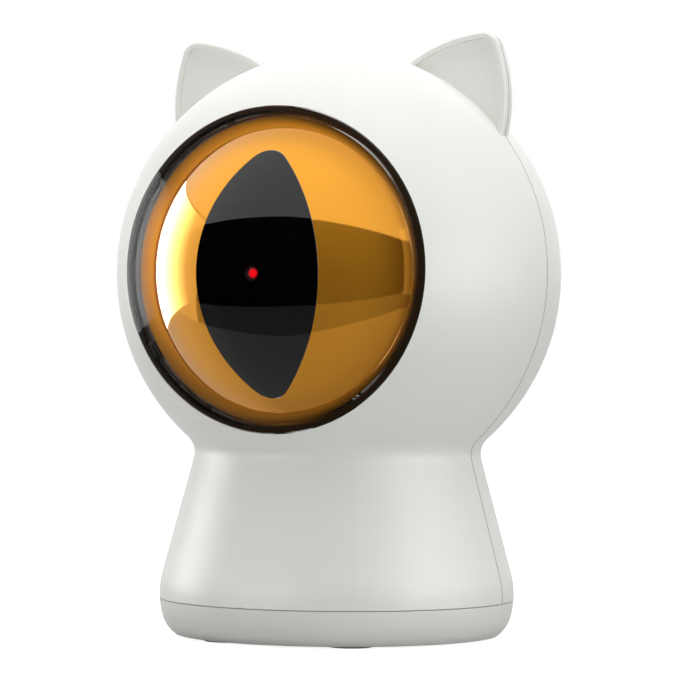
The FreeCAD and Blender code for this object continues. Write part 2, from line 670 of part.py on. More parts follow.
def pupil_prism(gap):
    """Upright slit pupil with two round sides and rounded tips, through the whole iris."""
    y = IRIS_CREASE_Y
    tip = PUPIL_HALF_H + gap
    side = PUPIL_HALF_W + gap
    low = V(0, y, GIMBAL_Z - tip)
    high = V(0, y, GIMBAL_Z + tip)
    left = V(-side, y, GIMBAL_Z)
    right = V(side, y, GIMBAL_Z)
    prism = Part.Face(Part.Wire([arc(low, left, high), arc(high, right, low)])).extrude(FRONT * BIG)
    ridges = [e for e in prism.Edges if e.BoundBox.YLength > BIG / 2]
    return prism.makeFillet(PUPIL_TIP_R, ridges)


def iris_shell():
    return iris_solid(IRIS_T).cut(pupil_prism(PUPIL_FIT))


def pupil_window():
    return iris_solid(WINDOW_T).common(pupil_prism(0))


def eye_retaining_ring():
    """Dark ring behind the iris, which the dome's clips hold it down with."""
    y = IRIS_CREASE_Y + IRIS_T + FIT
    outer = DOME_R - CLIP_T - FIT
    ring = tube(V(0, y, EYE_Z), BACK, outer, outer - RING_W, RING_T)
    tab = block(-CLIP_W, CLIP_W, y, y + RING_T, outer - RING_T, outer)
    tab.translate(V(0, 0, EYE_Z))
    return ring.fuse(tab).removeSplitter()


# Gears

def gear_section(teeth):
    """Spur gear outline with involute flanks, one tooth centred on +X, in the XY plane."""
    pitch_r = MODULE * teeth / 2
    base_r = pitch_r * math.cos(math.radians(PRESSURE_DEG))
    tip_r = pitch_r + ADDENDUM
    root_r = pitch_r - DEDENDUM
    involute = lambda r: math.tan(math.acos(min(1, base_r / r))) - math.acos(min(1, base_r / r))
    half_pitch = (math.pi * MODULE / 2 - GEAR_BACKLASH) / (2 * pitch_r)
    low_r = max(base_r, root_r + ROOT_RISE)
    radii = [low_r, pitch_r, tip_r]
    halves = [half_pitch + involute(pitch_r) - involute(r) for r in radii]
    points = []
    for tooth in range(teeth):
        middle = 2 * math.pi * tooth / teeth
        flank = [(root_r, halves[0])] + list(zip(radii, halves))
        rising = [(r, middle - a) for r, a in flank]
        falling = [(r, middle + a) for r, a in reversed(flank)]
        points += [V(r * math.cos(a), r * math.sin(a), 0) for r, a in rising + falling]
    points.append(points[0])
    return Part.Face(Part.makePolygon(points))


def spur_gear(teeth, thickness, turn_deg):
    gear = gear_section(teeth).extrude(UP * thickness)
    return gear.rotate(ORIGIN, UP, turn_deg)


def along_x(shape):
    """Turn a shape made about Z so that its axis is X and its +X side faces +Y."""
    turned = shape.rotate(ORIGIN, BACK, 90)
    return turned.rotate(ORIGIN, RIGHT, -90)


# Gimbal

def pan_gear():
    gear = spur_gear(PAN_TEETH, GEAR_T, 90)
    gear.translate(V(0, GIMBAL_Y, PAN_GEAR_LOW_Z))
    shaft = rod(V(0, GIMBAL_Y, CHASSIS_LOW_Z - FIT), UP, PAN_SHAFT_R, PAN_GEAR_LOW_Z - CHASSIS_LOW_Z + FIT)
    core = rod(V(0, GIMBAL_Y, CHASSIS_LOW_Z - FIT), UP, SMALL_SCREW_R, 4 * SMALL_HEAD_R)
    lightening = []
    for index in range(GEAR_HOLES):
        hole = rod(V(0, GIMBAL_Y + GEAR_HOLE_PLACE * PAN_PITCH_R, PAN_GEAR_LOW_Z), UP, GEAR_HOLE_R, GEAR_T)
        lightening.append(hole.rotate(GIMBAL, UP, 360.0 * index / GEAR_HOLES))
    return gear.fuse(shaft).cut([core] + lightening)


def pan_pinion():
    gear = spur_gear(PINION_TEETH, GEAR_T, -90 + 180.0 / PINION_TEETH)
    gear.translate(V(0, PAN_PINION_Y, PAN_GEAR_LOW_Z))
    hub = rod(V(0, PAN_PINION_Y, PAN_GEAR_LOW_Z), UP, PINION_PITCH_R - DEDENDUM, GEAR_T + RUN_GAP)
    return gear.fuse(hub).cut(rod(V(0, PAN_PINION_Y, 0), UP, MOTOR_SHAFT_R, BIG))


def yoke():
    floor = rod(V(0, GIMBAL_Y, PAN_GEAR_TOP_Z), UP, YOKE_ARM_X + YOKE_ARM_T + YOKE_EDGE, YOKE_FLOOR_T)
    x0, x1 = YOKE_ARM_X, YOKE_ARM_X + YOKE_ARM_T
    y0, y1 = GIMBAL_Y - YOKE_ARM_HALF_Y, GIMBAL_Y + YOKE_ARM_HALF_Y
    arms = []
    for s in (-1, 1):
        low, high = sorted((s * x0, s * x1))
        arms.append(block(low, high, y0, y1, PAN_GEAR_TOP_Z, GIMBAL_Z))
        arms.append(rod(V(low, GIMBAL_Y, GIMBAL_Z), RIGHT, YOKE_ARM_HALF_Y, YOKE_ARM_T))
    arms.append(block(x0, x1, GIMBAL_Y, TILT_PINION_Y, GIMBAL_Z - TILT_MOTOR_R, GIMBAL_Z + TILT_MOTOR_R))
    arms.append(rod(V(x0, TILT_PINION_Y, GIMBAL_Z), RIGHT, TILT_MOTOR_R, YOKE_ARM_T))
    holes = [rod(V(-BIG / 2, GIMBAL_Y, GIMBAL_Z), RIGHT, TRUNNION_R + RUN_FIT, BIG)]
    holes.append(rod(V(0, TILT_PINION_Y, GIMBAL_Z), RIGHT, MOTOR_NOSE_R + RUN_FIT, BIG))
    return fuse([floor] + arms).cut(holes)


def laser_cradle():
    sleeve = rod(GIMBAL + BACK * (CRADLE_LEN / 2), FRONT, CRADLE_R, CRADLE_LEN)
    reach = YOKE_ARM_X + YOKE_ARM_T + RUN_GAP
    trunnions = rod(GIMBAL - RIGHT * reach, RIGHT, TRUNNION_R, 2 * reach)
    shoulder_x = YOKE_ARM_X - RUN_GAP
    shoulders = rod(GIMBAL - RIGHT * shoulder_x, RIGHT, 2 * TRUNNION_R, 2 * shoulder_x)
    bore = rod(GIMBAL + BACK * BIG / 2, FRONT, BARREL_R + RUN_FIT / 2, BIG)
    return fuse([sleeve, shoulders, trunnions]).cut(bore)


def tilt_sector():
    """Toothed sector on the cradle's +X shoulder. It faces the tilt pinion behind it."""
    gear = along_x(spur_gear(TILT_TEETH, SECTOR_T, 0))
    half = math.radians(SECTOR_HALF_DEG)
    reach = 2 * TILT_PITCH_R
    top = V(0, reach * math.cos(half), reach * math.sin(half))
    low = V(0, top.y, -top.z)
    wedge_face = Part.Face(Part.makePolygon([V(0, 0, 0), top, low, V(0, 0, 0)]))
    wedge = wedge_face.extrude(RIGHT * SECTOR_T)
    hub = rod(ORIGIN, RIGHT, 2 * TRUNNION_R + SECTOR_HUB_WALL, SECTOR_T)
    sector = gear.common(wedge).fuse(hub)
    sector.translate(V(SECTOR_X, GIMBAL_Y, GIMBAL_Z))
    return sector.cut(rod(GIMBAL, RIGHT, 2 * TRUNNION_R, BIG)).removeSplitter()


def tilt_pinion():
    gear = along_x(spur_gear(PINION_TEETH, SECTOR_T, 180 + 180.0 / PINION_TEETH))
    gear.translate(V(SECTOR_X, TILT_PINION_Y, GIMBAL_Z))
    return gear.cut(rod(V(0, TILT_PINION_Y, GIMBAL_Z), RIGHT, MOTOR_SHAFT_R, BIG))


def laser_barrel():
    front = GIMBAL + FRONT * BARREL_FRONT
    body_rod = rod(front, BACK, BARREL_R, BARREL_LEN)
    rims = [e for e in body_rod.Edges if e.Closed]
    body_rod = body_rod.makeChamfer(RUN_GAP, rims)
    aperture = rod(front, BACK, LENS_R, LENS_T + RUN_GAP)
    beam = rod(front, BACK, LENS_R / 2, BARREL_LEN - 2 * LENS_T)
    return body_rod.cut([aperture, beam])


def laser_lens():
    front = GIMBAL + FRONT * BARREL_FRONT
    return rod(front + BACK * RUN_GAP, BACK, LENS_R - RUN_FIT, LENS_T)


def laser_driver_board():
    x, y, z = DRIVER_BOARD
    back_y = GIMBAL_Y - BARREL_FRONT + BARREL_LEN + RUN_FIT
    return block(-x / 2, x / 2, back_y, back_y + y, GIMBAL_Z - z / 2, GIMBAL_Z + z / 2)


# Motors. Each is made with its shaft along +Z and the mounting face at z = 0.

def motor_can(radius, length):
    can = rod(V(0, 0, -length), UP, radius, length)
    ends = [e for e in can.Edges if e.CenterOfMass.z < -length * 0.9]
    can = can.makeChamfer(RUN_GAP, ends)
    flats = block(-BIG, BIG, -radius * MOTOR_FLAT, radius * MOTOR_FLAT, -length, 0)
    nose = rod(ORIGIN, UP, MOTOR_NOSE_R, MOTOR_NOSE_LEN)
    bore = rod(V(0, 0, -length / 2), UP, MOTOR_SHAFT_R + RUN_FIT, BIG)
    return can.common(flats).fuse(nose), bore


def pan_motor():
    can, bore = motor_can(PAN_MOTOR_R, PAN_MOTOR_LEN)
    ears_flat = []
    holes = []
    for s in (-1, 1):
        ears_flat.append(rod(V(s * MOTOR_EAR_X, 0, -MOTOR_EAR_T), UP, MOTOR_EAR_R, MOTOR_EAR_T))
        holes.append(rod(V(s * MOTOR_EAR_X, 0, -MOTOR_EAR_T), UP, SMALL_SCREW_R + FIT, MOTOR_EAR_T))
    bar = block(-MOTOR_EAR_X, MOTOR_EAR_X, -MOTOR_EAR_R, MOTOR_EAR_R, -MOTOR_EAR_T, 0)
    motor = fuse([can, bar] + ears_flat).cut(holes + [bore])
    motor.translate(V(0, PAN_PINION_Y, CHASSIS_LOW_Z - RUN_FIT))
    return motor


def pan_motor_shaft():
    low = CHASSIS_LOW_Z - PAN_MOTOR_LEN / 2 + RUN_GAP
    return rod(V(0, PAN_PINION_Y, low), UP, MOTOR_SHAFT_R, PAN_GEAR_TOP_Z + RUN_GAP - low)


def tilt_motor():
    can, bore = motor_can(TILT_MOTOR_R, TILT_MOTOR_LEN)
    motor = can.cut(bore).rotate(ORIGIN, BACK, -90)
    motor.translate(V(YOKE_ARM_X + YOKE_ARM_T + RUN_FIT, TILT_PINION_Y, GIMBAL_Z))
    return motor


def tilt_motor_shaft():
    end = YOKE_ARM_X + YOKE_ARM_T + TILT_MOTOR_LEN / 2 - RUN_GAP
    return rod(V(SECTOR_X, TILT_PINION_Y, GIMBAL_Z), RIGHT, MOTOR_SHAFT_R, end - SECTOR_X)


def motor_screws():
    seat = CHASSIS_LOW_Z - RUN_FIT - MOTOR_EAR_T
    return Part.makeCompound([screw(V(s * MOTOR_EAR_X, PAN_PINION_Y, seat), UP, SMALL_SCREW_R, SMALL_HEAD_R,
                                    SMALL_HEAD_T, MOTOR_EAR_T + CHASSIS_T) for s in (-1, 1)])


def pan_retainer():
    """Washer-head screw under the chassis, which turns with the pan gear and holds it down."""
    seat = V(0, GIMBAL_Y, CHASSIS_LOW_Z - FIT)
    return screw(seat, UP, SMALL_SCREW_R - RUN_FIT, 2 * PAN_SHAFT_R, SMALL_HEAD_T, 3 * SMALL_HEAD_R)


# Chassis

def chassis():
    front_y = CHASSIS_TAB_Y + FIT
    bar = block(-CHASSIS_REACH_X, CHASSIS_REACH_X, front_y, CHASSIS_BACK_Y, CHASSIS_LOW_Z, CHASSIS_TOP_Z)
    inside = body(WALL + CHASSIS_EDGE_GAP)
    half_x = CHASSIS_TONGUE_HALF_X
    tongue = block(-half_x, half_x, GIMBAL_Y, front_y, CHASSIS_LOW_Z, CHASSIS_TOP_Z)
    nose = rod(V(0, GIMBAL_Y, CHASSIS_LOW_Z), UP, half_x, CHASSIS_T)
    boss = rod(V(0, GIMBAL_Y, CHASSIS_LOW_Z), UP, 2 * PAN_SHAFT_R, CHASSIS_T + CHASSIS_BOSS_H)
    tabs = []
    for s in (-1, 1):
        x0, x1 = sorted((s * (CHASSIS_POST_X - BOSS_R), s * (CHASSIS_POST_X + BOSS_R)))
        tabs.append(block(x0, x1, front_y, front_y + CHASSIS_T, CHASSIS_POST_Z - BOSS_R, CHASSIS_TOP_Z))
    rib_x = CHASSIS_POST_X - BOSS_R
    ribs = [block(-rib_x, rib_x, y, y + LIP_T, CHASSIS_LOW_Z - CHASSIS_RIB, CHASSIS_LOW_Z)
            for y in (front_y, CHASSIS_BACK_Y - LIP_T)]
    clear_of_shell = body(WALL + RUN_GAP)
    solid = fuse([bar.common(inside), tongue, nose, boss] + [t.common(clear_of_shell) for t in tabs] + ribs)
    holes = [rod(V(0, GIMBAL_Y, 0), UP, PAN_SHAFT_R + RUN_FIT, BIG)]
    holes.append(rod(V(0, PAN_PINION_Y, 0), UP, MOTOR_NOSE_R + FIT, BIG))
    holes += [rod(V(s * MOTOR_EAR_X, PAN_PINION_Y, 0), UP, SMALL_SCREW_R + RUN_FIT, BIG) for s in (-1, 1)]
    holes += [rod(V(s * CHASSIS_POST_X, CHASSIS_TAB_Y, CHASSIS_POST_Z), BACK, SCREW_R + FIT, CHASSIS_T + FIT)
              for s in (-1, 1)]
    return solid.cut(holes)


def chassis_screws():
    seat_y = CHASSIS_TAB_Y + FIT + CHASSIS_T
    seats = [V(s * CHASSIS_POST_X, seat_y, CHASSIS_POST_Z) for s in (-1, 1)]
    return Part.makeCompound([screw(seat, FRONT, SCREW_R, SCREW_HEAD_R, SCREW_HEAD_T, CHASSIS_T + BOSS_R)
                              for seat in seats])


# Electronics and button

def board_screw_seats():
    return [V(s * BOARD_POST_X, BOARD_Y, BOARD_POST_Z) for s in (-1, 1)]


def main_board():
    board = block(-BOARD_HALF_X, BOARD_HALF_X, BOARD_Y, BOARD_BACK_Y, BOARD_LOW_Z, BOARD_TOP_Z)
    board = board.common(body(WALL + BOARD_SHELL_GAP))
    return board.cut([rod(seat, BACK, SMALL_SCREW_R + FIT, BOARD_T) for seat in board_screw_seats()])


def board_chip():
    x, y, z = CHIP_SIZE
    middle = (BOARD_LOW_Z + BOARD_TOP_Z) / 2
    return block(-x / 2, x / 2, BOARD_Y - y, BOARD_Y, middle - z / 2, middle + z / 2)


def board_screws():
    length = BOARD_T + 2 * SMALL_SCREW_R
    return Part.makeCompound([screw(seat, BACK, SMALL_SCREW_R, SMALL_HEAD_R, SMALL_HEAD_T, length)
                              for seat in board_screw_seats()])


def usb_socket():
    case = stadium(USB_W / 2, USB_H / 2, BOARD_BACK_Y, USB_D)
    mouth = stadium(USB_W / 2 - USB_WALL, USB_H / 2 - USB_WALL, BOARD_BACK_Y + 2 * USB_WALL, USB_D)
    tongue_end = BOARD_BACK_Y + USB_D - 4 * USB_WALL
    tongue = block(-USB_W / 3, USB_W / 3, BOARD_BACK_Y, tongue_end, USB_Z - USB_WALL, USB_Z + USB_WALL)
    return case.cut(mouth).fuse(tongue)


def switch_body():
    x, y, z = SWITCH_SIZE
    return block(-x / 2, x / 2, BOARD_BACK_Y, BOARD_BACK_Y + y, BUTTON_Z - z / 2, BUTTON_Z + z / 2)


def mode_button():
    """Round key in the rear wall. Its face follows the wall, and a flange keeps it in."""
    tip_y = BOARD_BACK_Y + SWITCH_SIZE[1] + BUTTON_TRAVEL + FIT
    stem = rod(V(0, tip_y, BUTTON_Z), BACK, PLUNGER_R, BIG)
    key = rod(V(0, 0, BUTTON_Z), BACK, BUTTON_R, BIG).cut(body(WALL - LIP_T))
    key = key.common(body(-BUTTON_PROUD)).common(rear_half(0))
    flange = rod(V(0, 0, BUTTON_Z), BACK, BUTTON_FLANGE_R, BIG)
    flange = flange.common(body(WALL + FIT)).cut(body(WALL + FIT + BUTTON_FLANGE_T)).common(rear_half(0))
    core = rod(V(0, 0, BUTTON_Z), BACK, BUTTON_R, BIG)
    core = core.common(body(WALL - LIP_T)).cut(body(WALL + FIT + BUTTON_FLANGE_T)).common(rear_half(0))
    stem = stem.common(body(WALL))
    return fuse([key, flange, core, stem])


PARTS = {
    "front_shell": front_shell,
    "rear_shell": rear_shell,
    "base_cap": base_cap,
    "battery_door": battery_door,
    "door_screw": door_screw,
    "rubber_feet": lambda: Part.makeCompound(pads()),
    "shell_screws": shell_screws,
    "base_screws": base_screws,
    "battery_contacts_left": lambda: battery_contacts(-1),
    "battery_contacts_right": lambda: battery_contacts(1),
    "eye_dome": eye_dome,
    "iris_shell": iris_shell,
    "pupil_window": pupil_window,
    "eye_retaining_ring": eye_retaining_ring,
    "chassis": chassis,
    "chassis_screws": chassis_screws,
    "pan_motor": pan_motor,
    "pan_motor_shaft": pan_motor_shaft,
    "pan_pinion": pan_pinion,
    "pan_gear": pan_gear,
    "pan_retainer": pan_retainer,
    "motor_screws": motor_screws,
    "yoke": yoke,
    "tilt_motor": tilt_motor,
    "tilt_motor_shaft": tilt_motor_shaft,
    "tilt_pinion": tilt_pinion,
    "tilt_sector": tilt_sector,
    "laser_cradle": laser_cradle,
    "laser_barrel": laser_barrel,
    "laser_lens": laser_lens,
    "laser_driver_board": laser_driver_board,
    "main_board": main_board,
    "board_chip": board_chip,
    "board_screws": board_screws,
    "usb_socket": usb_socket,
    "mode_switch": switch_body,
    "mode_button": mode_button,
}

os.makedirs("parts", exist_ok=True)
for name, make in PARTS.items():
    save(make(), name)
for cell in range(CELL_COUNT):
    save(battery_cell(cell), "battery_cell_" + str(cell + 1))
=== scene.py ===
import bpy
import bmesh
import json
import math
from mathutils import Matrix, Vector

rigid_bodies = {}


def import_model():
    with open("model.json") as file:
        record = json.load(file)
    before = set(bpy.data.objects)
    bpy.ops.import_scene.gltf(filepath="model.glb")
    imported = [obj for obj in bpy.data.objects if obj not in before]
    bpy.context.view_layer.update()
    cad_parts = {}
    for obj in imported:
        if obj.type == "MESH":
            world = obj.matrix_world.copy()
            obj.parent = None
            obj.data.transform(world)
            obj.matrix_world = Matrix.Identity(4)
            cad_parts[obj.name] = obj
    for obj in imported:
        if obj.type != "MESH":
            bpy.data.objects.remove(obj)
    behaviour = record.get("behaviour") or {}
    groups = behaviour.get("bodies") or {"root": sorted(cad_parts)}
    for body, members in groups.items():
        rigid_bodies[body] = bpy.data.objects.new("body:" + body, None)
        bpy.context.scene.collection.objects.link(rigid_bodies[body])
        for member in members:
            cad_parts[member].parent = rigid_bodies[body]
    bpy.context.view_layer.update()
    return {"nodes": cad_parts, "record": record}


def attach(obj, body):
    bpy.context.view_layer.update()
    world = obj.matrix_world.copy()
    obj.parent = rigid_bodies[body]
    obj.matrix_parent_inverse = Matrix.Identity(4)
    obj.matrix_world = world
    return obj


for default in list(bpy.data.objects):
    bpy.data.objects.remove(default)

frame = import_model()

# The eye's own measures, in metres, as the solids have them
EYE_Z = 0.0683
EYE_AXIS_DROP = 0.00085
LASER_AXIS_Z = EYE_Z - EYE_AXIS_DROP
IRIS_CREASE_R = 0.0258
IRIS_RIM_R = 0.0277
RING_LIP_R = 0.0292
# the clear dome darkens between these two radii
DARKEN_FROM_R = 0.0262
DARKEN_TO_R = 0.0289
LENS_FACE_Y = -0.0236
WINDOW_BACK_Y = -0.0381
PORT_R = (0.0012, 0.0016)   # the window's clear port fades to dark between these radii

# Joints of the housing, in metres: a line of painted shade starts to fade and ends this far from
# its joint
CAP_TOP_Z = 0.0070      # the shells stand on the base cap here
CAP_JOINT_R = 0.0285    # further in, the same height is inside the housing
CAP_SHADE_FADE = 0.0001
SPLIT_SHADE_FADE = 0.00008
SHADE_LINE_END = 0.0002

# A cell lies along X: half lengths of its dark print and of its sleeve
CELL_PRINT_X = 0.0148
CELL_SLEEVE_X = 0.0208

NOISE_SPAN = (0.3, 0.7)     # nearly all values of the noise lie between these
GRAIN_DEPTH = 0.00002
COARSE_DEPTH = 0.00003


# Materials ---------------------------------------------------------------------------------

class Paint:
    """A node material with one Principled shader, and short ways to add procedural detail."""

    def __init__(self, name, color, roughness, metallic=0.0, specular=0.5):
        self.mat = bpy.data.materials.new(name)
        self.mat.use_nodes = True
        self.nodes = self.mat.node_tree.nodes
        self.links = self.mat.node_tree.links
        self.out = next(n for n in self.nodes if n.type == "OUTPUT_MATERIAL")
        self.shader = next(n for n in self.nodes if n.type == "BSDF_PRINCIPLED")
        self.set("Base Color", (*color, 1.0))
        self.set("Roughness", roughness)
        self.set("Metallic", metallic)
        self.set("Specular IOR Level", specular)
        self.mat.diffuse_color = (*color, 1.0)
        self.coord = self.nodes.new("ShaderNodeTexCoord")

    def set(self, socket, value):
        self.shader.inputs[socket].default_value = value

    def link(self, a, b):
        self.links.new(a, b)

    def drive(self, socket, value):
        """Let another node's value drive a socket of the shader."""
        self.link(value, self.shader.inputs[socket])

    def driver(self, socket):
        """The value that drives a socket of the shader."""
        return self.shader.inputs[socket].links[0].from_socket

    def node(self, kind, **settings):
        made = self.nodes.new(kind)
        for key, value in settings.items():
            setattr(made, key, value)
        return made

    def noise(self, scale, detail=3.0, stretch=(1.0, 1.0, 1.0)):
        mapping = self.node("ShaderNodeMapping")
        mapping.inputs["Scale"].default_value = stretch
        self.link(self.coord.outputs["Object"], mapping.inputs["Vector"])
        tex = self.node("ShaderNodeTexNoise")
        tex.inputs["Scale"].default_value = scale
        tex.inputs["Detail"].default_value = detail
        self.link(mapping.outputs["Vector"], tex.inputs["Vector"])
        return tex.outputs["Fac"]

    def remap(self, value, low, high, to_low, to_high, smooth=False):
        node = self.node("ShaderNodeMapRange")
        if smooth:
            node.interpolation_type = "SMOOTHSTEP"
        ends = {"From Min": low, "From Max": high, "To Min": to_low, "To Max": to_high}
        for socket, number in ends.items():
            node.inputs[socket].default_value = number
        self.link(value, node.inputs["Value"])
        return node.outputs["Result"]

    def math(self, operation, a, b):
        node = self.node("ShaderNodeMath", operation=operation)
        for socket, value in zip(node.inputs, (a, b)):
            if isinstance(value, (int, float)):
                socket.default_value = value
            else:
                self.link(value, socket)
        return node.outputs["Value"]

    def mix(self, factor, a, b):
        node = self.node("ShaderNodeMix", data_type="RGBA")
        self.link(factor, node.inputs["Factor"])
        for socket, value in ((node.inputs["A"], a), (node.inputs["B"], b)):
            if isinstance(value, tuple):
                socket.default_value = (*value, 1.0)
            else:
                self.link(value, socket)
        return node.outputs["Result"]

    def color(self, result):
        self.drive("Base Color", result)

    def drift(self, scale, low, high):
        """A slow change between two colours."""
        return self.mix(self.remap(self.noise(scale), *NOISE_SPAN, 0, 1), low, high)

    def vary_color(self, scale, low, high):
        self.color(self.drift(scale, low, high))

    def vary_roughness(self, scale, low, high, stretch=(1.0, 1.0, 1.0)):
        self.drive("Roughness", self.remap(self.noise(scale, 4.0, stretch), *NOISE_SPAN, low, high))

    def bump(self, height, strength, distance=GRAIN_DEPTH):
        node = self.node("ShaderNodeBump")
        node.inputs["Strength"].default_value = strength
        node.inputs["Distance"].default_value = distance
        self.link(height, node.inputs["Height"])
        self.drive("Normal", node.outputs["Normal"])

    def axis(self, name):
        split = self.node("ShaderNodeSeparateXYZ")
        self.link(self.coord.outputs["Object"], split.inputs["Vector"])
        return split.outputs[name]

    def distance(self, mask, offset):
        """Length of the part of a point that the mask keeps, in metres."""
        masked = self.node("ShaderNodeVectorMath", operation="MULTIPLY_ADD")
        masked.inputs[1].default_value = mask
        masked.inputs[2].default_value = offset
        self.link(self.coord.outputs["Object"], masked.inputs[0])
        length = self.node("ShaderNodeVectorMath", operation="LENGTH")
        self.link(masked.outputs["Vector"], length.inputs[0])
        return length.outputs["Value"]

    def radius(self, axis_z):
        """Distance from an axis that runs front to back at this height, in metres."""
        return self.distance((1.0, 0.0, 1.0), (0.0, 0.0, -axis_z))

    def clear(self, tint=(1.0, 1.0, 1.0)):
        """A surface that light passes straight through, tinted on its way."""
        made = self.node("ShaderNodeBsdfTransparent")
        made.inputs["Color"].default_value = (*tint, 1.0)
        return made.outputs["BSDF"]

    def surface(self, share, first, second):
        """Mix the surface of two shaders; the share, a number or a link, is the second one's."""
        mix = self.node("ShaderNodeMixShader")
        if isinstance(share, float):
            mix.inputs["Fac"].default_value = share
        else:
            self.link(share, mix.inputs["Fac"])
        self.link(first, mix.inputs[1])
        self.link(second, mix.inputs[2])
        self.link(mix.outputs["Shader"], self.out.inputs["Surface"])

    def behind_shadow_rays(self):
        """Light passes straight through for shadow rays, so what lies behind the glass is lit."""
        path = self.node("ShaderNodeLightPath")
        self.surface(path.outputs["Is Shadow Ray"], self.shader.outputs["BSDF"], self.clear())


def moulded(name, low, high, roughness, grain=2600.0):
    """Moulded plastic: a faint drift in tone, uneven satin and a very fine spark-eroded grain."""
    paint = Paint(name, low, roughness)
    paint.vary_color(38.0, low, high)
    paint.vary_roughness(240.0, roughness - 0.035, roughness + 0.035)
    paint.bump(paint.noise(grain, 2.0), 0.12)
    return paint


def shell_white(name, split):
    """The housing's plastic, with a fine darker line of painted shade where two parts of it close
    on each other.
    """
    paint = moulded(name, (0.842, 0.852, 0.806), (0.858, 0.868, 0.822), 0.42)
    tone = paint.driver("Base Color")
    satin = paint.driver("Roughness")
    from_cap = paint.distance((0.0, 0.0, 1.0), (0.0, 0.0, -CAP_TOP_Z))
    from_axis = paint.distance((1.0, 1.0, 0.0), (0.0, 0.0, 0.0))
    # Painted shade: a darker line along the joint with the base cap, outside the housing, where the
    # surface is also made fully rough
    cap_joint_shade = paint.remap(from_cap, CAP_SHADE_FADE, SHADE_LINE_END, 1, 0, smooth=True)
    outside = paint.remap(from_axis, CAP_JOINT_R, CAP_JOINT_R + 0.0001, 0, 1)
    line = paint.math("MULTIPLY", cap_joint_shade, outside)
    tone = paint.mix(line, tone, (0.80, 0.80, 0.77))
    paint.drive("Roughness", paint.math("MAXIMUM", line, satin))
    if split:
        # Painted shade: a darker line along the split between the two shells
        from_split = paint.distance((0.0, 1.0, 0.0), (0.0, 0.0, 0.0))
        split_joint_shade = paint.remap(from_split, SPLIT_SHADE_FADE, SHADE_LINE_END, 1, 0, smooth=True)
        tone = paint.mix(split_joint_shade, tone, (0.30, 0.30, 0.28))
    paint.color(tone)
    return paint


def metal(name, color, roughness, stretch=(1.0, 1.0, 1.0), scale=900.0):
    """Bare metal with an uneven polish; the stretch gives its grain a direction."""
    paint = Paint(name, color, roughness, metallic=1.0)
    dark = tuple(c * 0.9 for c in color)
    paint.vary_color(160.0, dark, color)
    paint.vary_roughness(scale, roughness - 0.07, roughness + 0.09, stretch)
    paint.bump(paint.noise(scale * 1.6, 3.0, stretch), 0.1)
    return paint


def cell_jacket():
    """A printed sleeve, dark in the middle and coppery towards the ends, and bare metal beyond."""
    paint = Paint("cell_jacket", (0.05, 0.06, 0.08), 0.24)
    from_middle = paint.math("ABSOLUTE", paint.axis("X"), 0.0)
    band = paint.remap(from_middle, CELL_PRINT_X, CELL_PRINT_X + 0.0003, 0, 1)
    sleeve = paint.mix(band, (0.035, 0.04, 0.055), (0.55, 0.36, 0.16))
    bare = paint.remap(from_middle, CELL_SLEEVE_X, CELL_SLEEVE_X + 0.0002, 0, 1)
    paint.color(paint.mix(bare, sleeve, (0.66, 0.65, 0.62)))
    paint.drive("Metallic", bare)
    paint.bump(paint.noise(1500.0, 2.0), 0.06)
    return paint


def clear_dome():
    """Clear plastic with a coating that throws back little of the room, darker towards its edge and
    opaque at the edge itself.
    """
    clear = (0.985, 0.98, 0.97)
    paint = Paint("clear_dome", clear, 0.0)
    radius = paint.radius(EYE_Z)
    darker_to_edge = paint.remap(radius, DARKEN_FROM_R, DARKEN_TO_R, 0, 1, smooth=True)
    paint.color(paint.mix(darker_to_edge, clear, (0.02, 0.012, 0.006)))
    paint.drive("Transmission Weight", paint.remap(radius, DARKEN_TO_R - 0.0003, DARKEN_TO_R, 1, 0))
    paint.set("IOR", 1.05)
    paint.behind_shadow_rays()
    return paint


def iris_amber():
    """Metallised amber lacquer on the domed iris, and a satin shoulder round it.

    The shoulder's colour darkens towards the rim as painted shade, and it glows a little as
    painted light, most near the crease, high up and at the far left; the whole iris glows faintly.
    """
    paint = Paint("iris_amber", (0.95, 0.41, 0.03), 0.06, specular=0.2)
    radius = paint.radius(EYE_Z)
    shoulder = paint.remap(radius, IRIS_CREASE_R, IRIS_CREASE_R + 0.0002, 0, 1)
    # Painted shade: the shoulder's colour darkens from the crease to the rim
    shoulder_painted_shade = paint.remap(radius, IRIS_CREASE_R, IRIS_RIM_R, 0, 1)
    lacquer = paint.drift(70.0, (0.94, 0.40, 0.028), (0.97, 0.42, 0.034))
    satin = paint.mix(shoulder_painted_shade, (0.85, 0.38, 0.03), (0.42, 0.18, 0.015))
    paint.color(paint.mix(shoulder, lacquer, satin))
    # Painted light: the shoulder glows, most near the crease, high up and at the far left, and the
    # whole iris faintly
    painted_glow_near_crease = paint.remap(radius, IRIS_CREASE_R, IRIS_RIM_R, 0.4, 0.12)
    painted_light_high_up = paint.remap(paint.axis("Z"), EYE_Z - 0.022, EYE_Z + 0.02, 0.15, 1)
    painted_light_far_left = paint.remap(paint.axis("X"), -0.0255, -0.022, 2.2, 1)
    own = paint.math("MULTIPLY", paint.math("MULTIPLY", painted_glow_near_crease, painted_light_high_up), painted_light_far_left)
    own = paint.math("MAXIMUM", paint.math("MULTIPLY", shoulder, own), 0.03)
    paint.set("Emission Color", (1.0, 0.42, 0.03, 1.0))
    paint.drive("Emission Strength", own)
    paint.drive("Metallic", paint.remap(shoulder, 0, 1, 0.5, 0))
    paint.drive("Coat Weight", paint.remap(shoulder, 0, 1, 0.12, 0))
    paint.drive("Roughness", paint.remap(shoulder, 0, 1, 0.05, 0.5))
    paint.set("Coat Roughness", 0.02)
    paint.bump(paint.noise(220.0, 1.0), 0.02)
    return paint


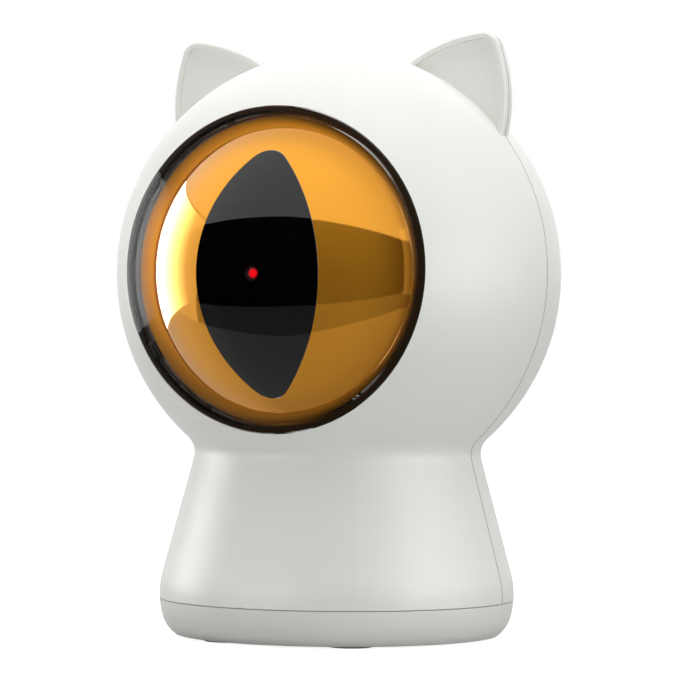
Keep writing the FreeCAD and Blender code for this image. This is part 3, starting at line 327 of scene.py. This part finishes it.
def ring_black():
    """Black retaining ring, with painted light on its inner edge: the amber of the iris, as colour
    and a faint glow.
    """
    paint = moulded("ring_black", (0.012, 0.012, 0.012), (0.018, 0.018, 0.018), 0.42)
    # Painted light: amber colour and a faint amber glow near the iris, fading to black further out
    amber_painted_light = paint.remap(paint.radius(EYE_Z), IRIS_RIM_R, RING_LIP_R, 1, 0)
    paint.color(paint.mix(amber_painted_light, paint.driver("Base Color"), (0.85, 0.36, 0.03)))
    paint.set("Emission Color", (1.0, 0.42, 0.03, 1.0))
    paint.drive("Emission Strength", paint.math("MULTIPLY", amber_painted_light, 0.1))
    return paint


def pupil_black():
    """Smoked window: glossy black, nearly opaque but for a small clear port before the laser."""
    paint = Paint("pupil_black", (0.002, 0.002, 0.002), 0.03)
    paint.bump(paint.noise(160.0, 1.0), 0.01)
    dark = paint.remap(paint.radius(LASER_AXIS_Z), *PORT_R, 0.4, 0.97, smooth=True)
    paint.surface(dark, paint.clear((0.9, 0.6, 0.6)), paint.shader.outputs["BSDF"])
    return paint


def barrel_brass():
    """Turned brass, with fine rings from the lathe."""
    paint = metal("barrel_brass", (0.78, 0.56, 0.26), 0.26)
    rings = paint.node("ShaderNodeTexWave", bands_direction="Y")
    rings.inputs["Scale"].default_value = 900.0
    paint.link(paint.coord.outputs["Object"], rings.inputs["Vector"])
    paint.bump(rings.outputs["Fac"], 0.15)
    return paint


def lens_glass():
    """Glass of the laser's lens."""
    paint = Paint("lens_glass", (0.86, 0.92, 0.97), 0.02)
    paint.set("Transmission Weight", 0.9)
    paint.set("IOR", 1.5)
    paint.vary_roughness(120.0, 0.015, 0.04)
    return paint


def circuit_board():
    """Solder mask over copper runs, with tinned pads."""
    paint = Paint("circuit_board", (0.02, 0.14, 0.06), 0.34)
    cells = paint.node("ShaderNodeTexVoronoi", feature="DISTANCE_TO_EDGE")
    cells.inputs["Scale"].default_value = 420.0
    cells.inputs["Randomness"].default_value = 0.35
    paint.link(paint.coord.outputs["Object"], cells.inputs["Vector"])
    runs = paint.remap(cells.outputs["Distance"], 0.03, 0.07, 1, 0)
    mask = paint.mix(runs, (0.012, 0.11, 0.045), (0.03, 0.23, 0.10))
    dots = paint.node("ShaderNodeTexVoronoi", feature="F1")
    dots.inputs["Scale"].default_value = 300.0
    paint.link(paint.coord.outputs["Object"], dots.inputs["Vector"])
    pads = paint.remap(dots.outputs["Distance"], 0.12, 0.15, 1, 0)
    paint.color(paint.mix(pads, mask, (0.66, 0.64, 0.58)))
    paint.drive("Metallic", paint.math("MULTIPLY", pads, 0.9))
    paint.bump(runs, 0.3, COARSE_DEPTH)
    return paint


def rubber():
    """Dull grey rubber with fine pits."""
    paint = Paint("foot_rubber", (0.42, 0.42, 0.41), 0.72, specular=0.3)
    paint.vary_color(500.0, (0.40, 0.40, 0.39), (0.45, 0.45, 0.44))
    paint.vary_roughness(900.0, 0.66, 0.82)
    paint.bump(paint.noise(1400.0, 3.0), 0.3, COARSE_DEPTH)
    return paint


def acetal():
    """Off-white plastic of the gears, which lets a little light in."""
    paint = moulded("gear_acetal", (0.80, 0.79, 0.74), (0.84, 0.83, 0.79), 0.33)
    paint.set("Subsurface Weight", 0.2)
    paint.set("Subsurface Radius", (0.002, 0.002, 0.0016))
    paint.set("Subsurface Scale", 0.5)
    return paint


PAINTS = {
    "shell_white": shell_white("shell_white", False),
    "key_grey": moulded("key_grey", (0.76, 0.765, 0.735), (0.785, 0.79, 0.76), 0.33),
    "foot_rubber": rubber(),
    "screw_steel": metal("screw_steel", (0.60, 0.60, 0.60), 0.30),
    "spring_steel": metal("spring_steel", (0.70, 0.69, 0.66), 0.26, (1.0, 6.0, 1.0)),
    "cell_jacket": cell_jacket(),
    "clear_dome": clear_dome(),
    "iris_amber": iris_amber(),
    "pupil_black": pupil_black(),
    "ring_black": ring_black(),
    "frame_black": moulded("frame_black", (0.022, 0.022, 0.024), (0.03, 0.03, 0.033), 0.45),
    "motor_can": metal("motor_can", (0.64, 0.64, 0.62), 0.27, (1.0, 1.0, 7.0)),
    "shaft_steel": metal("shaft_steel", (0.74, 0.74, 0.74), 0.18, (1.0, 1.0, 9.0)),
    "gear_acetal": acetal(),
    "barrel_brass": barrel_brass(),
    "lens_glass": lens_glass(),
    "circuit_board": circuit_board(),
    "chip_black": moulded("chip_black", (0.016, 0.016, 0.016), (0.024, 0.024, 0.024), 0.5, 5200.0),
    "socket_steel": metal("socket_steel", (0.68, 0.68, 0.68), 0.22, (5.0, 1.0, 1.0)),
}

for row in frame["record"]["subparts"]:
    node = frame["nodes"][row["node"]]
    for index in range(len(node.material_slots)):
        node.material_slots[index].material = PAINTS[row["material_slot"]].mat

# The two shells also carry the painted shade along their split
seam_shaded_shell = shell_white("shell_white_seam_shade", True)
for name in ("front_shell", "rear_shell"):
    frame["nodes"][name].material_slots[0].material = seam_shaded_shell.mat

# The mirror of the iris shows the room, not the housing that it is set in
NOT_MIRRORED = (
    "front_shell", "rear_shell", "iris_shell", "eye_dome", "base_cap", "battery_door",
    "rubber_feet", "base_screws", "door_screw", "shell_screws", "mode_button", "usb_socket",
)
for name in NOT_MIRRORED:
    frame["nodes"][name].visible_glossy = False


# The laser's beam and its spot on the back of the pupil window -------------------------------

def glow(name, color, strength, alpha, spot_radius=None):
    """Light that shows without a surface of its own: emission mixed with clear."""
    paint = Paint(name, (0.0, 0.0, 0.0), 1.0, specular=0.0)
    paint.set("Emission Color", (*color, 1.0))
    paint.set("Emission Strength", strength)
    share = alpha
    if spot_radius:
        core = 0.45 * spot_radius
        from_axis = paint.radius(LASER_AXIS_Z)
        share = paint.remap(from_axis, core, spot_radius, alpha, 0, smooth=True)
    paint.surface(share, paint.clear(), paint.shader.outputs["BSDF"])
    return paint.mat


def laser_glow():
    """A slim beam from the lens to the window, which widens and ends in a small domed spot."""
    sides = 48
    lens_r, spot_r = 0.0009, 0.00105
    dome_height = 0.0001
    rows = [(lens_r, LENS_FACE_Y), (0.00095, -0.030), (spot_r, WINDOW_BACK_Y + dome_height)]
    mesh = bmesh.new()
    rings = []
    for radius, y in rows:
        ring = []
        for step in range(sides):
            turn = 2 * math.pi * step / sides
            across, up = radius * math.cos(turn), radius * math.sin(turn)
            ring.append(mesh.verts.new((across, y, LASER_AXIS_Z + up)))
        rings.append(ring)
    for low, high in zip(rings, rings[1:]):
        for step in range(sides):
            after = (step + 1) % sides
            mesh.faces.new((low[step], low[after], high[after], high[step]))
    tip = mesh.verts.new((0.0, WINDOW_BACK_Y, LASER_AXIS_Z))
    for step in range(sides):
        face = mesh.faces.new((rings[-1][step], rings[-1][(step + 1) % sides], tip))
        face.material_index = 1
    mesh.faces.new(list(reversed(rings[0])))
    bmesh.ops.recalc_face_normals(mesh, faces=mesh.faces)
    data = bpy.data.meshes.new("laser_glow")
    mesh.to_mesh(data)
    mesh.free()
    for polygon in data.polygons:
        polygon.use_smooth = True
    data.materials.append(glow("laser_beam", (1.0, 0.02, 0.03), 0.2, 0.01))
    data.materials.append(glow("laser_spot", (1.0, 0.012, 0.035), 3.0, 1.0, spot_r))
    made = bpy.data.objects.new("laser_glow", data)
    bpy.context.scene.collection.objects.link(made)
    return made


glow_piece = laser_glow()
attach(glow_piece, "laser_head")


# Camera --------------------------------------------------------------------------------------

VIEW_AZIMUTH = math.radians(23.778)
VIEW_DISTANCE = 0.6102
VIEW_Z = 0.05294
VIEW_PITCH = math.radians(0.2674)
VIEW_ROLL = math.radians(0.42)
AIM_RIGHT = 0.00028
LENS_MM = 170.5

toward = Vector((math.sin(VIEW_AZIMUTH), -math.cos(VIEW_AZIMUTH), 0.0))
right = Vector((math.cos(VIEW_AZIMUTH), math.sin(VIEW_AZIMUTH), 0.0))

camera_data = bpy.data.cameras.new("camera")
camera_data.sensor_width = 36.0
camera_data.lens = LENS_MM
camera_data.clip_start = 0.01
camera_data.clip_end = 50.0
camera = bpy.data.objects.new("camera", camera_data)
bpy.context.scene.collection.objects.link(camera)
eye_point = toward * VIEW_DISTANCE + Vector((0.0, 0.0, VIEW_Z))
aim = right * AIM_RIGHT + Vector((0.0, 0.0, VIEW_Z + VIEW_DISTANCE * math.tan(VIEW_PITCH)))
look = (aim - eye_point).to_track_quat("-Z", "Y").to_matrix().to_4x4()
camera.matrix_world = Matrix.Translation(eye_point) @ look @ Matrix.Rotation(VIEW_ROLL, 4, "Z")
bpy.context.scene.camera = camera


# Stage and light -------------------------------------------------------------------------------

def place(angle_deg, distance, z):
    """A point round the object: angle 0 is straight before its face, positive towards +X."""
    angle = math.radians(angle_deg)
    return Vector((math.sin(angle) * distance, -math.cos(angle) * distance, z))


def card_material(name, sheer):
    """Emission as strong as the card's "glow" says at each vertex; a sheer card hides nothing."""
    mat = bpy.data.materials.new(name)
    mat.use_nodes = True
    nodes, links = mat.node_tree.nodes, mat.node_tree.links
    nodes.clear()
    out = nodes.new("ShaderNodeOutputMaterial")
    emit = nodes.new("ShaderNodeEmission")
    glow_level = nodes.new("ShaderNodeAttribute")
    glow_level.attribute_name = "glow"
    links.new(glow_level.outputs["Fac"], emit.inputs["Strength"])
    surface = emit.outputs["Emission"]
    if sheer:
        clear = nodes.new("ShaderNodeBsdfTransparent")
        add = nodes.new("ShaderNodeAddShader")
        links.new(surface, add.inputs[0])
        links.new(clear.outputs["BSDF"], add.inputs[1])
        surface = add.outputs["Shader"]
    links.new(surface, out.inputs["Surface"])
    return mat


SOLID_CARD = card_material("solid_card", False)
SHEER_CARD = card_material("sheer_card", True)


def card(name, rows, levels, material=SOLID_CARD):
    """A studio card or flag between two edges, seen only in reflections and through clear parts."""
    data = bpy.data.meshes.new(name)
    verts = [point for row in rows for point in row]
    faces = [(i, i + 2, i + 3, i + 1) for i in range(0, 2 * len(rows) - 2, 2)]
    data.from_pydata([tuple(v) for v in verts], [], faces)
    data.materials.append(material)
    glow_level = data.attributes.new("glow", "FLOAT", "POINT")
    for index in range(len(verts)):
        glow_level.data[index].value = levels[index // 2]
    made = bpy.data.objects.new(name, data)
    bpy.context.scene.collection.objects.link(made)
    made.visible_camera = False
    made.visible_diffuse = False
    made.visible_shadow = False
    made.visible_volume_scatter = False
    return made


def fan(name, from_deg, to_deg, low, high, level, steps=60):
    """A card swept round the object between two edges, each a function of the angle."""
    angles = [from_deg + (to_deg - from_deg) * step / steps for step in range(steps + 1)]
    rows = [(place(angle, *low(angle)), place(angle, *high(angle))) for angle in angles]
    levels = [level(angle) if callable(level) else level for angle in angles]
    return card(name, rows, levels)


def side_panel(name, x, stops, low_z, high_z, material=SHEER_CARD):
    """An upright flat panel beside the object; each stop is (angle seen from the eye, level)."""
    rows, levels = [], []
    for angle, level in stops:
        y = -abs(x) / math.tan(math.radians(angle))
        rows.append((Vector((x, y, low_z)), Vector((x, y, high_z))))
        levels.append(level)
    return card(name, rows, levels, material)


def light_only(made, nodes, state):
    """The sheer card lights these nodes and no others, or with EXCLUDE all but these."""
    group = bpy.data.collections.new(made.name + "_receivers")
    for name in nodes:
        group.objects.link(frame["nodes"][name])
    for row in group.collection_objects:
        row.light_linking.link_state = state
    made.light_linking.receiver_collection = group


def area_light(name, position, target, size, power):
    """A square lamp that faces the target and isn't seen itself, in the room or in reflections."""
    data = bpy.data.lights.new(name, "AREA")
    data.shape = "RECTANGLE"
    data.size = size
    data.size_y = size
    data.energy = power
    made = bpy.data.objects.new(name, data)
    bpy.context.scene.collection.objects.link(made)
    made.location = position
    made.rotation_euler = (target - position).to_track_quat("-Z", "Y").to_euler()
    made.visible_camera = False
    made.visible_glossy = False
    made.visible_transmission = False


def studio_floor(half_side, tone, camera_glow):
    """A pale floor that keeps the object's shadow and is lifted to white for the camera."""
    corners = [(x * half_side, y * half_side, 0) for x, y in ((-1, -1), (1, -1), (1, 1), (-1, 1))]
    data = bpy.data.meshes.new("studio_floor")
    data.from_pydata(corners, [], [(0, 1, 2, 3)])
    mat = bpy.data.materials.new("studio_floor")
    mat.use_nodes = True
    nodes, links = mat.node_tree.nodes, mat.node_tree.links
    nodes.clear()
    out = nodes.new("ShaderNodeOutputMaterial")
    diffuse = nodes.new("ShaderNodeBsdfDiffuse")
    diffuse.inputs["Color"].default_value = (tone, tone, tone, 1.0)
    emit = nodes.new("ShaderNodeEmission")
    path = nodes.new("ShaderNodeLightPath")
    gain = nodes.new("ShaderNodeMath")
    gain.operation = "MULTIPLY"
    gain.inputs[1].default_value = camera_glow
    add = nodes.new("ShaderNodeAddShader")
    links.new(path.outputs["Is Camera Ray"], gain.inputs[0])
    links.new(gain.outputs["Value"], emit.inputs["Strength"])
    links.new(diffuse.outputs["BSDF"], add.inputs[0])
    links.new(emit.outputs["Emission"], add.inputs[1])
    links.new(add.outputs["Shader"], out.inputs["Surface"])
    data.materials.append(mat)
    made = bpy.data.objects.new("studio_floor", data)
    bpy.context.scene.collection.objects.link(made)


def studio_world(diffuse_level):
    """White for the camera, in reflections and through clear parts, and dimmer as a light."""
    world = bpy.data.worlds.new("studio")
    bpy.context.scene.world = world
    world.use_nodes = True
    nodes, links = world.node_tree.nodes, world.node_tree.links
    nodes.clear()
    out = nodes.new("ShaderNodeOutputWorld")
    sky = nodes.new("ShaderNodeBackground")
    sky.inputs["Color"].default_value = (1.0, 1.0, 1.0, 1.0)
    path = nodes.new("ShaderNodeLightPath")
    seen = path.outputs["Is Camera Ray"]
    for name in ("Is Glossy Ray", "Is Transmission Ray"):
        either = nodes.new("ShaderNodeMath")
        either.operation = "MAXIMUM"
        links.new(seen, either.inputs[0])
        links.new(path.outputs[name], either.inputs[1])
        seen = either.outputs["Value"]
    level = nodes.new("ShaderNodeMapRange")
    level.inputs["To Min"].default_value = diffuse_level
    level.inputs["To Max"].default_value = 1.0
    links.new(seen, level.inputs["Value"])
    links.new(level.outputs["Result"], sky.inputs["Strength"])
    links.new(sky.outputs["Background"], out.inputs["Surface"])


# What the eye mirrors: the edges of a floor in three tones, a dark wall and a bright ceiling, each
# swept round the object as (distance, height) at an angle. Where an edge runs was found by trial.

ROOM_R = 1.0            # the wall stands this far from the object
ROOM_MID = 0.001        # inner end of the sweeps, nearly at their middle
CARD_Z = 0.0006         # just above the floor, which they cover in reflections
FRONT_DEG = (-68, 100)  # between these angles the floor beyond the near part is dim


def ceiling_edge(angle):
    return ROOM_R, EYE_Z + 0.68 - 0.30 * (abs(angle) / 70) ** 1.6


def ceiling_low(angle):
    return ROOM_R, max(ceiling_edge(angle)[1], 0.3)


def near_floor(angle):
    return EYE_Z / max(0.70 - 0.39 * (abs(angle) / 79) ** 1.5, 0.12), CARD_Z


def far_floor(angle):
    return EYE_Z / max(0.37 - 0.14 * (angle / 68) ** 2, 0.06), CARD_Z


def near_floor_level(angle):
    return 0.45 + 0.3 * min(max((-40 - angle) / 40, 0.0), 1.0)


studio_floor(6.0, 0.62, 0.88)
studio_world(0.31)
fan("floor_near", -180, 180, lambda angle: (ROOM_MID, CARD_Z), near_floor, near_floor_level)
fan("floor_mid", *FRONT_DEG, near_floor, far_floor, 0.2)
fan("floor_far", *FRONT_DEG, far_floor, lambda angle: (3.0, CARD_Z), 0.0)
fan("floor_left", -145, FRONT_DEG[0], near_floor, lambda angle: (5.9, CARD_Z), 1.0)
fan("dark_wall", FRONT_DEG[0], 84, lambda angle: (ROOM_R, 0.0), ceiling_edge, 0.0)
fan("ceiling", -180, 180, ceiling_low, lambda angle: (ROOM_MID, 1.5), 1.28)

# Panels and softboxes stand beside the object at these distances in X. The eye sees only its own
# two panels, and the housing all the others.

PANEL_X = 0.3
SOFTBOX_X = 0.31
PANEL_Z = (0.001, 0.208)
PANEL_EDGE_Z = (0.208, 0.211)
LOW_Z = (0.001, 0.13)
MID_Z = (0.13, 0.42)
HIGH_Z = (0.5, 1.1)
EYE = ("eye_dome", "iris_shell", "pupil_window")

LEFT_PANEL = ((68, 0.0), (75, 0.2), (84, 2.4), (94, 5.2), (101, 6.8), (108, 8.6), (145, 8.6))
RIGHT_PANEL = ((73.5, 0.5), (84, 0.5))
LEFT_PANEL_EDGE = ((67, 0.1), (145, 0.1))
LEFT_SOFTBOX = ((64, 0.6), (72, 3.7), (80, 9.5), (92, 6.5), (99, 1.2), (106, 0.0))
RIGHT_SOFTBOX_LOW = ((60, 4.0), (74, 5.6), (90, 5.5), (98, 2.6), (108, 1.9), (120, 1.9))
RIGHT_SOFTBOX = ((60, 1.2), (74, 1.6), (90, 1.6), (120, 1.2))
RIGHT_SOFTBOX_HIGH = ((70, 0.8), (110, 0.8))

eye_cards = [
    side_panel("left_panel", -PANEL_X, LEFT_PANEL, *PANEL_Z),
    side_panel("right_panel", PANEL_X, RIGHT_PANEL, *PANEL_Z),
]
for panel in eye_cards:
    light_only(panel, EYE, "INCLUDE")
side_panel("left_panel_edge", -0.299, LEFT_PANEL_EDGE, *PANEL_EDGE_Z, SOLID_CARD)

front_rows = [(place(angle, 0.9, 0.05), place(angle, 0.9, 0.2)) for angle in (-50, -5)]
housing_cards = [
    side_panel("left_softbox", -SOFTBOX_X, LEFT_SOFTBOX, *PANEL_Z),
    side_panel("right_softbox_low", SOFTBOX_X, RIGHT_SOFTBOX_LOW, *LOW_Z),
    side_panel("right_softbox", SOFTBOX_X, RIGHT_SOFTBOX, *MID_Z),
    side_panel("right_softbox_high", SOFTBOX_X, RIGHT_SOFTBOX_HIGH, *HIGH_Z),
    card("front_softbox", front_rows, [8.0, 8.0], SHEER_CARD),
]
for panel in housing_cards:
    light_only(panel, EYE, "EXCLUDE")

middle = Vector((0.0, 0.0, 0.06))
area_light("top", place(90, 0.12, 1.1), middle, 0.8, 6.5)
area_light("left_lamp", place(-70, 0.8, 1.0), middle, 0.6, 0.8)
area_light("back_lamp", place(-120, 0.8, 1.0), middle, 0.6, 3.9)
area_light("right_lamp", place(55, 0.8, 0.9), middle, 0.6, 1.2)
area_light("right_low_lamp", place(75, 0.8, 0.15), middle, 0.6, 0.9)
area_light("front_lamp", place(5, 0.8, 0.25), middle, 0.6, 0.5)
area_light("right_mid_lamp", place(100, 0.8, 0.3), middle, 0.6, 0.4)
bpy.context.scene.view_settings.view_transform = "Standard"
